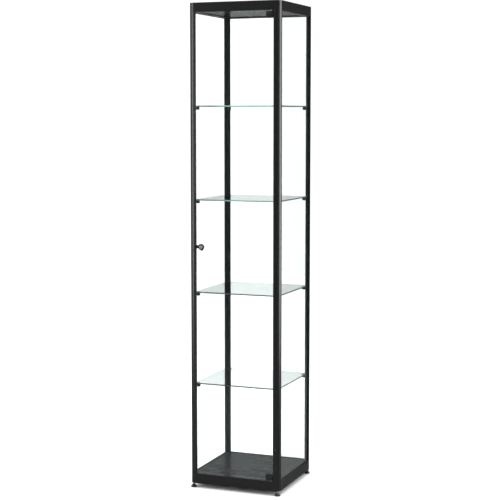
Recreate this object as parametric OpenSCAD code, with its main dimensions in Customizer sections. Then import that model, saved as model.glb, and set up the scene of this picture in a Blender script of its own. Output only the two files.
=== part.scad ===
// Tall glass display case on levelling feet: an aluminium frame, three fixed panes,
// four glass shelves and a frameless glass door on pivot hinges with a cam lock.
// Millimetres. X to the right, Y to the back, Z up. The origin is on the floor under the centre.

/* [Case] */
// Outer width of the frame
case_w = 400; // [300:5:600]
// Outer depth of the frame
case_d = 400; // [300:5:600]
// Height of the frame without its feet
frame_h = 2000; // [1200:10:2400]

/* [Posts] */
// Width and depth of a corner post, whose outer corner is a full quarter round
post_size = 24; // [20:0.5:26]
// Width of the groove down the outer corner of a post
groove_w = 4.5; // [2:0.5:5]
// Depth of that groove
groove_depth = 2.2; // [1:0.1:2.4]
// Depth of the glass slots in a post
post_slot_depth = 4.5; // [3:0.5:5]
// Distance from the outer faces of a post to the port for its foot's stem
port_in = 12; // [11:0.5:14]
/* [Rails and panels] */
// Thickness of the walls of a hollow rail
rail_wall = 2; // [1.5:0.5:2.5]
// Height of the four base rails
base_rail_h = 42; // [38:1:70]
// Height of the four top rails
top_rail_h = 39; // [38:1:70]
// Depth of the glass slot in a base rail
base_slot_depth = 6; // [4:0.5:8]
// Depth of the glass slot in a top rail, which lets the pane be lifted in
top_slot_depth = 11; // [9:0.5:12]
// Width of the ledge inside a rail that carries a panel
ledge_w = 8; // [5:0.5:12]
// Thickness of that ledge
ledge_t = 3; // [2:0.5:4]
// Thickness of the floor panel and of the top panel
panel_t = 16; // [12:1:18]
// Gap between a panel and the rails around it
panel_gap = 0.5; // [0.2:0.1:1.5]

/* [Glass] */
// Thickness of the fixed panes and of the door
glass_t = 5; // [4:0.5:6]
// Distance from the outside of the frame to the middle of the glass
glass_in = 7.5; // [7:0.5:8]
// Thickness of the seal on each side of a pane
seal_t = 0.5; // [0.3:0.1:0.6]
// Thickness of the seal around the edge of a pane
seal_edge = 1; // [0.5:0.1:1.5]
// Height of the seal that shows beyond the frame
seal_lip = 1.5; // [0.5:0.5:3]

/* [Shelves] */
// Thickness of a glass shelf
shelf_t = 5; // [4:0.5:8]
// How far the edges of a shelf reach past the inner faces of the posts
shelf_past_post = 7; // [1:0.5:8]
// Gap between a shelf's cut corner and the post
shelf_corner_gap = 1.4; // [0.6:0.1:3]
// Height of a shelf support
support_h = 12; // [9:1:18]
// How far a support reaches out from its post
support_reach = 12; // [10:0.5:16]
// How far a support wraps back around its post
support_wrap = 5; // [3:0.5:6]
// Radius of a support screw
support_screw_r = 1.7; // [1.5:0.1:2]

/* [Corner joints] */
// Height of a corner bracket
bracket_h = 18; // [14:1:18]
// Length of a bracket's legs along the rails
bracket_leg = 28; // [24:1:34]
// Thickness of a bracket
bracket_t = 2.5; // [2:0.5:4]
// Clear space in front of the post under a bracket's slanted web
bracket_set_back = 14; // [12:1:18]
// Radius of the bolt that pulls the post into the corner
bolt_r = 2.4; // [2:0.1:2.6]
// Length of that bolt in the post
bolt_grip = 6.5; // [4:0.5:7]
// Radius of a bracket screw
bracket_screw_r = 2; // [1.6:0.1:2.4]
// Length of a bracket screw under its head
bracket_screw_l = 7; // [5:0.5:9]

/* [Door] */
// Gap between the edges of the door and the jambs
door_gap = 2.5; // [2:0.5:4]
// Width of a door jamb beside its post
jamb_w = 4; // [3:0.5:12]
// Length of a hinge clamp along the edge of the glass
hinge_w = 31; // [26:1:40]
// Height of a hinge clamp
hinge_h = 26; // [20:1:34]
// Thickness of a clamp's cheeks
hinge_cheek = 3.5; // [3:0.5:4]
// Thickness of the clamp over the edge of the glass
hinge_bridge = 3; // [2:0.5:4]
// Gap between a hinge clamp and the rail
hinge_gap = 2.5; // [2:0.5:4]
// Distance from the pivot to the end of the clamp
pivot_in = 7.5; // [6.5:0.5:8]
// Distance from the end of the clamp to the edge of the glass
clamp_over = 1; // [0.5:0.5:1.5]
// Radius of a hinge pin
pin_r = 3; // [2:0.5:3.5]
// Length of a hinge pin beyond its clamp
pin_out = 9.5; // [7:0.5:12]
// Thickness of a hinge bush around its pin
bush_wall = 2; // [1.5:0.5:2.5]

/* [Lock] */
// Distance from the free edge of the door to the lock
lock_in = 22; // [20:1:40]
// Radius of the lock's collar
collar_r = 13; // [12:0.5:16]
// Thickness of the collar in front of the glass
collar_t = 4; // [2.5:0.5:4]
// Radius of the lock's barrel
barrel_r = 9; // [8:0.5:10]
// Radius of the face of the key plug
plug_face_r = 7.5; // [6.5:0.5:7.5]
// Radius of the key plug inside the barrel
plug_r = 5.5; // [4.5:0.5:6]
// Width of the key slot
key_slot_w = 2; // [1.5:0.5:3]
// Reach of the cam from the lock's axis
cam_reach = 16; // [14:0.5:17]
// Width of the cam
cam_w = 10; // [8:0.5:11]
// Thickness of the cam
cam_t = 2; // [1.5:0.5:3]
// Length of the cam that holds behind the keeper
cam_hold = 3.5; // [2:0.5:4]
// Height of the keeper
keeper_h = 13; // [10:1:20]
// Thickness of the keeper
keeper_t = 2.5; // [1.5:0.5:2.5]

/* [Feet] */
// Height of the frame above the floor
foot_h = 20; // [18:0.5:30]
// Radius of the threaded stem
stem_r = 3; // [2.5:0.1:3]
// Length of the stem inside the post
stem_in = 24; // [20:1:40]
// Radius of a foot's pad
pad_r = 12; // [10:0.5:16]
// Height of a foot's pad
pad_h = 12; // [10:0.5:13]
// Height of the hexagon that turns the stem
hex_h = 3.5; // [2.5:0.5:4]
// Width of that hexagon across its flats
hex_af = 10; // [8:0.5:13]

/* [Hole plug] */
// Radius of the plug in the front of the right post
plug_cap_r = 4.5; // [3:0.5:5]
// Height of that plug above the floor
plug_cap_z = 195.5; // [120:0.5:300]

/* [Hidden] */
$fn = 64;

// Clearances
cut = 1;                // how far a cutting tool runs past the face that it cuts
running = 0.05;         // between a pin or stem and the bore that it turns in
screw_fit = 0.05;       // between a screw's shank and its hole
clear_fit = 0.3;        // between a support screw and the wider hole through its support
tongue_gap = 0.2;       // around a jamb's tongue in its slot
ledge_gap = 0.5;        // between two ledges that meet in a corner
notch_gap = 0.4;        // between a corner bolt and the notch for it in a rail's end
keeper_gap = 1;         // between the closed door and the keeper
cam_gap = 0.4;          // between the keeper and the locked cam
barrel_gap = 0.5;       // between the lock's barrel and its hole in the glass
bush_lift = 0.1;        // between the door's weight-bearing bush and its clamp
pad_clear = 0.4;        // between a foot's pad and the hexagon above it

// Levels
floor_z = foot_h + base_rail_h;
top_z = foot_h + frame_h;
head_z = top_z - top_rail_h;
ceiling_z = head_z + ledge_t;

// Frame
post_in = post_size;
slot_w = glass_t + 2 * seal_t;
port_r = stem_r + running;
pane_low = floor_z - base_slot_depth + seal_edge;
pane_high = head_z + top_slot_depth / 2;

plug_cap_l = 2.8;
plug_cap_turn = 15;
plug_cap_sunk = 0.6;

// Shelves
shelf_count = 4;
clear_h = (ceiling_z - floor_z - shelf_count * shelf_t) / (shelf_count + 1);
shelf_in = post_in - shelf_past_post;
shelf_cut = 2 * shelf_past_post + shelf_corner_gap * sqrt(2);
support_face = 5;
support_grip = 6.5;
function shelf_z(i) = floor_z + i * clear_h + (i - 1) * shelf_t;
function support_screw_z(i) = shelf_z(i) - support_h / 2;

// Corner joints
base_bracket_z = floor_z - panel_t - ledge_t - bracket_h;
top_bracket_z = ceiling_z + panel_t;
bracket_mid_z = [base_bracket_z + bracket_h / 2, top_bracket_z + bracket_h / 2];
bracket_screw_at = post_in + bracket_set_back + bracket_leg / 2;

// Door
clamp_t = glass_t + 2 * seal_t + 2 * hinge_cheek;
door_y = -case_d / 2 + glass_in;
jamb_d = glass_in + slot_w / 2;
door_x = case_w / 2 - post_in - jamb_w - door_gap;
clamp_end = door_x + clamp_over;
pivot_x = clamp_end - pivot_in;
clamp_low = floor_z + hinge_gap;
clamp_high = head_z - hinge_gap;
door_low = clamp_low + hinge_bridge + seal_t;
door_high = clamp_high - hinge_bridge - seal_t;
bush_r = pin_r + running + bush_wall;
flange_r = bush_r + 2;
bush_l = 8;
pin_grip = hinge_bridge;
clamp_edge_r = 4;
grub_r = 2;
grub_l = hinge_cheek - 0.5;
grub_socket_r = 1.1;
grub_socket_l = 1.5;
grub_at = [clamp_end - hinge_w * 0.77, clamp_end - hinge_w * 0.32];
grub_z = hinge_bridge + (hinge_h - hinge_bridge) * 0.6;
top_flange_t = 1.5;

// Lock
lock_x = -door_x + lock_in;
lock_z = (door_low + door_high) / 2;
glass_front = door_y - glass_t / 2;
glass_back = door_y + glass_t / 2;
washer_t = 0.5;
nut_t = 3;
barrel_back = glass_back + washer_t + nut_t;
plug_step = 1.5;
washer_r = collar_r - 1;
nut_r = collar_r - 1;
key_slot_h = 2 * plug_r - 2;
key_slot_depth = 7;
plug_drill = 5;
cam_hub_r = cam_w / 2 + 1.5;
keeper_front = glass_back + keeper_gap;
cam_front = keeper_front + keeper_t + cam_gap;
keeper_end = lock_x - cam_reach + cam_hold;
keeper_x = -case_w / 2 + post_in;
keeper_back = -case_d / 2 + post_in;
keeper_screw_y = (keeper_front + keeper_t + keeper_back) / 2;
keeper_screw_r = 1.5;
keeper_screw_l = 6;
plug_square = 7;
cam_screw_r = 1.5;
cam_screw_l = 4;
cam_head_r = 4.5;
cam_head_h = 1.5;

// Feet
foot_x = case_w / 2 - port_in;
foot_y = case_d / 2 - port_in;
hex_z = pad_h + pad_clear;
rivet_r = stem_r + 1.5;
rivet_z = 5;
rivet_h = 3;

// A pan head's radius and height, for a shank of radius 1
head_wide = 1.7;
head_high = 1;

CORNERS = [[-1, -1], [1, -1], [-1, 1], [1, 1]];

// ---- Placing ----

// Puts a child drawn from an outer corner of the case, inwards along +X and +Y, in corner c.
module in_corner(c) {
    translate([c[0] * case_w / 2, c[1] * case_d / 2, 0])
        mirror([c[0] > 0 ? 1 : 0, 0, 0])
            mirror([0, c[1] > 0 ? 1 : 0, 0])
                children();
}

// Puts a child drawn along X, with its outer face at Y 0 and inwards along +Y, on one side of the case.
module on_side(side) {
    if (side == "front") translate([0, -case_d / 2, 0]) children();
    if (side == "back") translate([0, case_d / 2, 0]) rotate(180) children();
    if (side == "left") translate([-case_w / 2, 0, 0]) rotate(-90) children();
    if (side == "right") translate([case_w / 2, 0, 0]) rotate(90) children();
}

function side_length(side) = (side == "front" || side == "back" ? case_w : case_d) - 2 * post_in;

// A bore or shank of radius r on the diagonal of a corner, from distance a to b past the post's inner edge.
module diagonal_rod(r, a, b) {
    translate([post_in, post_in, 0])
        rotate([0, 90, 45])
            translate([0, 0, a])
                cylinder(h = b - a, r = r);
}

// Distance along a corner's diagonal from the post's inner edge to the line x + y = s.
function on_diagonal(s) = (s - 2 * post_in) / sqrt(2);

// ---- Posts ----

module post_section() {
    difference() {
        intersection() {
            square(post_size);
            translate([post_size, post_size]) circle(r = post_size, $fn = 128);
        }
        translate([post_size, post_size])
            rotate(225)
                translate([post_size - groove_depth, -groove_w / 2])
                    square([groove_depth + cut, groove_w]);
        translate([glass_in - slot_w / 2, post_size - post_slot_depth])
            square([slot_w, post_slot_depth + cut]);
        translate([post_size - post_slot_depth, glass_in - slot_w / 2])
            square([post_slot_depth + cut, slot_w]);
        translate([port_in, port_in]) circle(r = port_r);
    }
}

module post(c) {
    color([0.06, 0.06, 0.065])
        in_corner(c)
            difference() {
                translate([0, 0, foot_h]) linear_extrude(height = frame_h) post_section();
                for (i = [1 : shelf_count])
                    translate([0, 0, support_screw_z(i)])
                        diagonal_rod(support_screw_r + screw_fit, -support_grip - cut, cut);
                for (z = bracket_mid_z)
                    translate([0, 0, z]) diagonal_rod(bolt_r + screw_fit, -bolt_grip - 0.5, cut);
            }
}

module post_front_left() {
    difference() {
        post(CORNERS[0]);
        keeper_screw_cut();
    }
}

module post_front_right() {
    difference() {
        post(CORNERS[1]);
        in_corner(CORNERS[1])
            plug_place()
                translate([0, 0, -cut]) cylinder(h = plug_cap_l + cut, r = plug_cap_r);
    }
}

module post_back_left() { post(CORNERS[2]); }
module post_back_right() { post(CORNERS[3]); }

// The plug sits square to the round of the post, a little below its surface.
module plug_place() {
    translate([post_size, post_size, plug_cap_z])
        rotate(-plug_cap_turn)
            translate([0, -post_size, 0])
                rotate([-90, 0, 0])
                    children();
}

module post_plug() {
    color([0.1, 0.1, 0.11])
        in_corner(CORNERS[1])
            plug_place()
                translate([0, 0, plug_cap_sunk])
                    cylinder(h = plug_cap_l - plug_cap_sunk, r = plug_cap_r - screw_fit);
}

// ---- Rails ----

// A hollow rail along X: h high, its outer face at Y 0, with a glass slot in its upper or lower edge.
module rail(side, h, slot_depth, slot_up, ledge_low) {
    length = side_length(side);
    long_side = side == "left" || side == "right";
    ledge_length = long_side ? length : length - 2 * (ledge_w + ledge_gap);
    slot_low = slot_up ? h - slot_depth : 0;
    cavity_low = slot_up ? rail_wall : slot_depth + rail_wall;
    cavity_high = slot_up ? h - slot_depth - rail_wall : h - rail_wall;
    difference() {
        union() {
            translate([-length / 2, 0, 0]) cube([length, post_size, h]);
            translate([-ledge_length / 2, post_size - cut / 2, ledge_low])
                cube([ledge_length, ledge_w + cut / 2, ledge_t]);
        }
        translate([-length / 2 - cut, rail_wall, cavity_low])
            cube([length + 2 * cut, post_size - 2 * rail_wall, cavity_high - cavity_low]);
        if (slot_depth > 0)
            translate([-length / 2 - cut, glass_in - slot_w / 2, slot_up ? slot_low : -cut])
                cube([length + 2 * cut, slot_w, slot_depth + cut]);
    }
}

module rail_screw_cuts(side, z) {
    for (s = [-1, 1])
        translate([s * (side_length(side) / 2 + post_in - bracket_screw_at), post_size + cut, z])
            rotate([90, 0, 0])
                cylinder(h = rail_wall + 2 * cut, r = bracket_screw_r + screw_fit);
}

// The corner bolts pass between the ends of two rails, so each rail's inner edge is notched for them.
module bolt_notches(z) {
    for (c = CORNERS)
        in_corner(c)
            translate([0, 0, z])
                diagonal_rod(bolt_r + notch_gap, -bracket_set_back / 2, bracket_set_back / 2);
}

module base_rail(side) {
    color([0.07, 0.07, 0.075])
        difference() {
            on_side(side)
                difference() {
                    translate([0, 0, foot_h])
                        rail(side, base_rail_h, side == "front" ? 0 : base_slot_depth, true,
                             base_rail_h - panel_t - ledge_t);
                    rail_screw_cuts(side, bracket_mid_z[0]);
                }
            bolt_notches(bracket_mid_z[0]);
        }
}

module top_rail(side) {
    color([0.07, 0.07, 0.075])
        difference() {
            on_side(side)
                difference() {
                    translate([0, 0, head_z])
                        rail(side, top_rail_h, side == "front" ? 0 : top_slot_depth, false, 0);
                    rail_screw_cuts(side, bracket_mid_z[1]);
                }
            bolt_notches(bracket_mid_z[1]);
        }
}

module base_rail_front() {
    difference() {
        base_rail("front");
        translate([pivot_x, door_y, floor_z - rail_wall - cut]) cylinder(h = rail_wall + 2 * cut, r = bush_r);
    }
}

module top_rail_front() {
    difference() {
        top_rail("front");
        translate([pivot_x, door_y, head_z - cut]) cylinder(h = rail_wall + 2 * cut, r = bush_r);
    }
}

module base_rail_back() { base_rail("back"); }
module base_rail_left() { base_rail("left"); }
module base_rail_right() { base_rail("right"); }
module top_rail_back() { top_rail("back"); }
module top_rail_left() { top_rail("left"); }
module top_rail_right() { top_rail("right"); }

// ---- Panels ----

module panel(z) {
    w = case_w - 2 * (post_in + panel_gap);
    d = case_d - 2 * (post_in + panel_gap);
    color([0.05, 0.05, 0.055])
        translate([-w / 2, -d / 2, z]) cube([w, d, panel_t]);
}

module floor_panel() { panel(floor_z - panel_t); }
module top_panel() { panel(ceiling_z); }

// ---- Fixed panes and their seals ----

// A block in the plane of a side's glass, t thick, from low to high, over past the rail at each end.
module glass_block(side, t, low, high, over) {
    length = side_length(side) + 2 * over;
    on_side(side)
        translate([-length / 2, glass_in - t / 2, low])
            cube([length, t, high - low]);
}

module pane_block(side) {
    glass_block(side, glass_t, pane_low, pane_high, post_slot_depth - seal_edge);
}

module pane(side) {
    color([0.75, 0.88, 0.86, 0.3]) pane_block(side);
}

module glazing_seal(side) {
    color([0.25, 0.25, 0.26])
        difference() {
            glass_block(side, slot_w, pane_low - seal_edge, pane_high + seal_edge, post_slot_depth);
            glass_block(side, slot_w + 2 * cut, floor_z + seal_lip, head_z - seal_lip, -seal_lip);
            pane_block(side);
        }
}

module side_glass_left() { pane("left"); }
module side_glass_right() { pane("right"); }
module back_glass() { pane("back"); }
module glazing_seal_left() { glazing_seal("left"); }
module glazing_seal_right() { glazing_seal("right"); }
module glazing_seal_back() { glazing_seal("back"); }

// ---- Shelves ----

module shelf(i) {
    w = case_w - 2 * shelf_in;
    d = case_d - 2 * shelf_in;
    c = shelf_cut;
    color([0.75, 0.88, 0.86, 0.3])
        translate([0, 0, shelf_z(i)])
            linear_extrude(height = shelf_t)
                polygon([
                    [-w / 2 + c, -d / 2], [w / 2 - c, -d / 2], [w / 2, -d / 2 + c], [w / 2, d / 2 - c],
                    [w / 2 - c, d / 2], [-w / 2 + c, d / 2], [-w / 2, d / 2 - c], [-w / 2, -d / 2 + c]
                ]);
}

module shelf_1() { shelf(1); }
module shelf_2() { shelf(2); }
module shelf_3() { shelf(3); }
module shelf_4() { shelf(4); }

// A support hugs the inner edge of its post, and its screw runs along the corner's diagonal.
module shelf_supports() {
    near = post_in;
    back = post_in - support_wrap;
    far = post_in + support_reach;
    half = post_in + support_reach / 2;
    color([0.05, 0.05, 0.05])
        for (c = CORNERS, i = [1 : shelf_count])
            in_corner(c)
                difference() {
                    translate([0, 0, shelf_z(i) - support_h])
                        linear_extrude(height = support_h)
                            polygon([
                                [near, near], [near, back], [half, back], [far, half - support_wrap],
                                [far, far - support_face], [far - support_face, far],
                                [half - support_wrap, far], [back, half], [back, near]
                            ]);
                    translate([0, 0, support_screw_z(i)])
                        diagonal_rod(support_screw_r + clear_fit, -2 * support_screw_r, 2 * support_reach);
                }
}

module support_screws() {
    face = on_diagonal(2 * (post_in + support_reach) - support_face);
    color([0.3, 0.3, 0.31])
        for (c = CORNERS, i = [1 : shelf_count])
            in_corner(c)
                translate([0, 0, support_screw_z(i)]) {
                    diagonal_rod(support_screw_r, -support_grip, face + cut);
                    diagonal_rod(support_screw_r * head_wide, face, face + support_screw_r * head_high);
                }
}

// ---- Corner joints, hidden under the floor panel and over the top panel ----

module corner_brackets() {
    near = post_in;
    far = post_in + bracket_set_back + bracket_leg;
    start = post_in + bracket_set_back;
    web = start + bracket_t * (sqrt(2) - 1);
    color([0.5, 0.5, 0.52])
        for (c = CORNERS, k = [0, 1])
            in_corner(c)
                translate([0, 0, bracket_mid_z[k]])
                    difference() {
                        translate([0, 0, -bracket_h / 2])
                            linear_extrude(height = bracket_h)
                                polygon([
                                    [near, far], [near, start], [start, near], [far, near],
                                    [far, near + bracket_t], [web, near + bracket_t],
                                    [near + bracket_t, web], [near + bracket_t, far]
                                ]);
                        diagonal_rod(bolt_r + screw_fit, 0, 2 * bracket_set_back);
                        translate([bracket_screw_at, near - cut, 0])
                            rotate([-90, 0, 0])
                                cylinder(h = bracket_t + 2 * cut, r = bracket_screw_r + screw_fit);
                        translate([near - cut, bracket_screw_at, 0])
                            rotate([0, 90, 0])
                                cylinder(h = bracket_t + 2 * cut, r = bracket_screw_r + screw_fit);
                    }
}

module corner_bolts() {
    face = on_diagonal(2 * post_in + bracket_set_back + bracket_t * sqrt(2));
    color([0.6, 0.6, 0.62])
        for (c = CORNERS, k = [0, 1])
            in_corner(c)
                translate([0, 0, bracket_mid_z[k]]) {
                    diagonal_rod(bolt_r, -bolt_grip, face);
                    diagonal_rod(bolt_r * head_wide, face, face + bolt_r * head_high);
                }
}

module bracket_screws() {
    color([0.6, 0.6, 0.62])
        for (c = CORNERS, k = [0, 1])
            in_corner(c)
                translate([0, 0, bracket_mid_z[k]]) {
                    translate([bracket_screw_at, post_in + bracket_t, 0]) rotate([90, 0, 0]) bracket_screw();
                    translate([post_in + bracket_t, bracket_screw_at, 0]) rotate([0, -90, 0]) bracket_screw();
                }
}

// A screw that points along +Z from the face under its head.
module bracket_screw() {
    cylinder(h = bracket_screw_l, r = bracket_screw_r);
    translate([0, 0, -bracket_screw_r * head_high])
        cylinder(h = bracket_screw_r * head_high, r = bracket_screw_r * head_wide);
}

// ---- Door jambs and keeper ----

module door_jamb(c) {
    edge_r = 1.5;
    color([0.05, 0.05, 0.055])
        in_corner(c)
            translate([0, 0, floor_z])
                linear_extrude(height = head_z - floor_z) {
                    difference() {
                        translate([post_in, 0]) square([jamb_w, jamb_d]);
                        translate([post_in + jamb_w - edge_r, 0])
                            difference() {
                                translate([0, -cut]) square([edge_r + cut, edge_r + cut]);
                                translate([0, edge_r]) circle(r = edge_r);
                            }
                    }
                    translate([post_in - post_slot_depth + tongue_gap, glass_in - slot_w / 2 + tongue_gap])
                        square([post_slot_depth, slot_w - 2 * tongue_gap]);
                }
}

module door_jamb_left() { door_jamb(CORNERS[0]); }
module door_jamb_right() { door_jamb(CORNERS[1]); }

// The keeper's flange is screwed to the flat of the left post, behind the jamb.
module keeper_screw_cut() {
    translate([keeper_x - keeper_screw_l, keeper_screw_y, lock_z])
        rotate([0, 90, 0])
            cylinder(h = keeper_screw_l + keeper_t + cut, r = keeper_screw_r + screw_fit);
}

module lock_keeper() {
    color([0.05, 0.05, 0.055])
        difference() {
            translate([keeper_x, keeper_front, lock_z - keeper_h / 2]) {
                cube([keeper_end - keeper_x, keeper_t, keeper_h]);
                cube([keeper_t, keeper_back - keeper_front, keeper_h]);
            }
            keeper_screw_cut();
        }
}

module keeper_screw() {
    color([0.3, 0.3, 0.31])
        translate([keeper_x, keeper_screw_y, lock_z])
            rotate([0, 90, 0]) {
                translate([0, 0, -keeper_screw_l + screw_fit])
                    cylinder(h = keeper_screw_l + keeper_t - screw_fit, r = keeper_screw_r);
                translate([0, 0, keeper_t])
                    cylinder(h = keeper_screw_r * head_high, r = keeper_screw_r * head_wide);
            }
}

// ---- Door ----

module door_glass() {
    color([0.75, 0.88, 0.86, 0.3])
        difference() {
            translate([-door_x, glass_front, door_low]) cube([2 * door_x, glass_t, door_high - door_low]);
            translate([lock_x, glass_front - cut, lock_z])
                rotate([-90, 0, 0])
                    cylinder(h = glass_t + 2 * cut, r = barrel_r + barrel_gap);
        }
}

// The clamp and its liner are drawn for the bottom edge, with the clamp's outside at Z 0.
module clamp_outline() {
    r = clamp_edge_r;
    translate([clamp_end - hinge_w, -clamp_t / 2]) square([hinge_w - r, clamp_t]);
    translate([clamp_end - 2 * r, -clamp_t / 2 + r]) square([2 * r, clamp_t - 2 * r]);
    for (s = [-1, 1])
        translate([clamp_end - r, s * (clamp_t / 2 - r)]) circle(r = r);
}

module hinge_clamp() {
    color([0.07, 0.07, 0.075])
        difference() {
            translate([0, door_y, 0]) linear_extrude(height = hinge_h) clamp_outline();
            translate([clamp_end - hinge_w - cut, door_y - slot_w / 2, hinge_bridge])
                cube([hinge_w + 2 * cut, slot_w, hinge_h]);
            translate([pivot_x, door_y, -cut]) cylinder(h = hinge_bridge + 2 * cut, r = pin_r);
            for (x = grub_at)
                translate([x, door_y, grub_z])
                    rotate([-90, 0, 0]) cylinder(h = clamp_t, r = grub_r + screw_fit);
        }
}

module hinge_liner() {
    color([0.1, 0.1, 0.1])
        difference() {
            translate([clamp_end - hinge_w, door_y - slot_w / 2, hinge_bridge])
                cube([hinge_w - clamp_over, slot_w, hinge_h - hinge_bridge]);
            translate([clamp_end - hinge_w - cut, glass_front, hinge_bridge + seal_t])
                cube([hinge_w + cut, glass_t, hinge_h]);
        }
}

module hinge_grubs() {
    color([0.35, 0.35, 0.36])
        for (x = grub_at)
            translate([x, door_y + slot_w / 2, grub_z])
                rotate([-90, 0, 0])
                    difference() {
                        cylinder(h = grub_l, r = grub_r);
                        translate([0, 0, grub_l - grub_socket_l])
                            cylinder(h = grub_socket_l + cut, r = grub_socket_r, $fn = 6);
                    }
}

module hinge_pin() {
    color([0.8, 0.8, 0.82])
        translate([pivot_x, door_y, -pin_out]) cylinder(h = pin_out + pin_grip, r = pin_r);
}

// A flanged bush on the outside of a rail's wall, with its flange towards the door.
module hinge_bush(flange_t) {
    color([0.75, 0.75, 0.77])
        translate([pivot_x, door_y, 0])
            difference() {
                union() {
                    translate([0, 0, -bush_l]) cylinder(h = bush_l, r = bush_r);
                    cylinder(h = flange_t, r = flange_r);
                }
                translate([0, 0, -bush_l - cut])
                    cylinder(h = bush_l + flange_t + 2 * cut, r = pin_r + running);
            }
}

module at_bottom_edge() { translate([0, 0, clamp_low]) children(); }
module at_top_edge() { translate([0, 0, clamp_high]) mirror([0, 0, 1]) children(); }

module hinge_clamp_bottom() { at_bottom_edge() hinge_clamp(); }
module hinge_clamp_top() { at_top_edge() hinge_clamp(); }
module hinge_pin_bottom() { at_bottom_edge() hinge_pin(); }
module hinge_pin_top() { at_top_edge() hinge_pin(); }
module hinge_bush_bottom() { translate([0, 0, floor_z]) hinge_bush(hinge_gap - bush_lift); }
module hinge_bush_top() { translate([0, 0, head_z]) mirror([0, 0, 1]) hinge_bush(top_flange_t); }

module hinge_liners() {
    at_bottom_edge() hinge_liner();
    at_top_edge() hinge_liner();
}

module hinge_grub_screws() {
    at_bottom_edge() hinge_grubs();
    at_top_edge() hinge_grubs();
}

// ---- Lock ----

// A round piece on the lock's axis, from y0 back to y1.
module on_lock_axis(y0, y1, r) {
    translate([lock_x, y0, lock_z]) rotate([-90, 0, 0]) cylinder(h = y1 - y0, r = r);
}

module lock_body() {
    front = glass_front - washer_t - collar_t;
    color([0.06, 0.06, 0.06])
        difference() {
            union() {
                on_lock_axis(front, glass_front - washer_t, collar_r);
                on_lock_axis(front + cut, barrel_back, barrel_r);
            }
            on_lock_axis(front - cut, barrel_back + cut, plug_r + running);
            on_lock_axis(front - cut, front + plug_step, plug_face_r + running);
        }
}

module lock_washers() {
    color([0.12, 0.12, 0.12])
        difference() {
            union() {
                on_lock_axis(glass_front - washer_t, glass_front, washer_r);
                on_lock_axis(glass_back, glass_back + washer_t, washer_r);
            }
            on_lock_axis(glass_front - washer_t - cut, glass_back + washer_t + cut, barrel_r + screw_fit);
        }
}

module lock_nut() {
    color([0.6, 0.6, 0.62])
        difference() {
            translate([lock_x, glass_back + washer_t, lock_z])
                rotate([-90, 0, 0])
                    cylinder(h = nut_t, r = nut_r, $fn = 6);
            on_lock_axis(glass_back + washer_t - cut, barrel_back + cut, barrel_r + screw_fit);
        }
}

module lock_plug() {
    front = glass_front - washer_t - collar_t;
    color([0.6, 0.6, 0.62])
        difference() {
            union() {
                on_lock_axis(front, front + plug_step, plug_face_r);
                on_lock_axis(front + cut, cam_front, plug_r);
                translate([lock_x - plug_square / 2, cam_front - cut, lock_z - plug_square / 2])
                    cube([plug_square, cam_t + cut, plug_square]);
            }
            translate([lock_x - key_slot_w / 2, front - cut, lock_z - key_slot_h / 2])
                cube([key_slot_w, key_slot_depth + cut, key_slot_h]);
            on_lock_axis(cam_front - plug_drill, cam_front + cam_t + cut, cam_screw_r + screw_fit);
        }
}

module lock_cam() {
    color([0.07, 0.07, 0.075])
        translate([lock_x, cam_front, lock_z])
            rotate([-90, 0, 0])
                linear_extrude(height = cam_t)
                    difference() {
                        union() {
                            circle(r = cam_hub_r);
                            translate([-cam_w / 2, 0]) square([cam_w, cam_reach]);
                        }
                        square(plug_square, center = true);
                    }
}

module cam_screw() {
    color([0.6, 0.6, 0.62]) {
        on_lock_axis(cam_front - cam_screw_l, cam_front + cam_t, cam_screw_r);
        on_lock_axis(cam_front + cam_t, cam_front + cam_t + cam_head_h, cam_head_r);
    }
}

// ---- Feet ----

module foot_stem(c) {
    color([0.75, 0.75, 0.77])
        translate([c[0] * foot_x, c[1] * foot_y, 0]) {
            translate([0, 0, rivet_z]) cylinder(h = rivet_h, r = rivet_r);
            translate([0, 0, rivet_z + 1]) cylinder(h = foot_h + stem_in - rivet_z - 1, r = stem_r);
            translate([0, 0, hex_z]) cylinder(h = hex_h, r = hex_af / sqrt(3), $fn = 6);
        }
}

module foot_pad(c) {
    neck_r = rivet_r + 2.5;
    neck_h = 2;
    rim_h = 4;
    edge = 1;
    bore_r = stem_r + running;
    pocket_r = rivet_r + running;
    pocket_top = rivet_z + rivet_h + running;
    color([0.05, 0.05, 0.05])
        translate([c[0] * foot_x, c[1] * foot_y, 0])
            rotate_extrude($fn = 96)
                polygon([
                    [0, 0], [pad_r - edge, 0], [pad_r, edge], [pad_r, rim_h], [neck_r, pad_h - neck_h],
                    [neck_r, pad_h], [bore_r, pad_h], [bore_r, pocket_top], [pocket_r, pocket_top],
                    [pocket_r, rivet_z], [0, rivet_z]
                ]);
}

module foot_stem_front_left() { foot_stem(CORNERS[0]); }
module foot_stem_front_right() { foot_stem(CORNERS[1]); }
module foot_stem_back_left() { foot_stem(CORNERS[2]); }
module foot_stem_back_right() { foot_stem(CORNERS[3]); }
module foot_pad_front_left() { foot_pad(CORNERS[0]); }
module foot_pad_front_right() { foot_pad(CORNERS[1]); }
module foot_pad_back_left() { foot_pad(CORNERS[2]); }
module foot_pad_back_right() { foot_pad(CORNERS[3]); }

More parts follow.
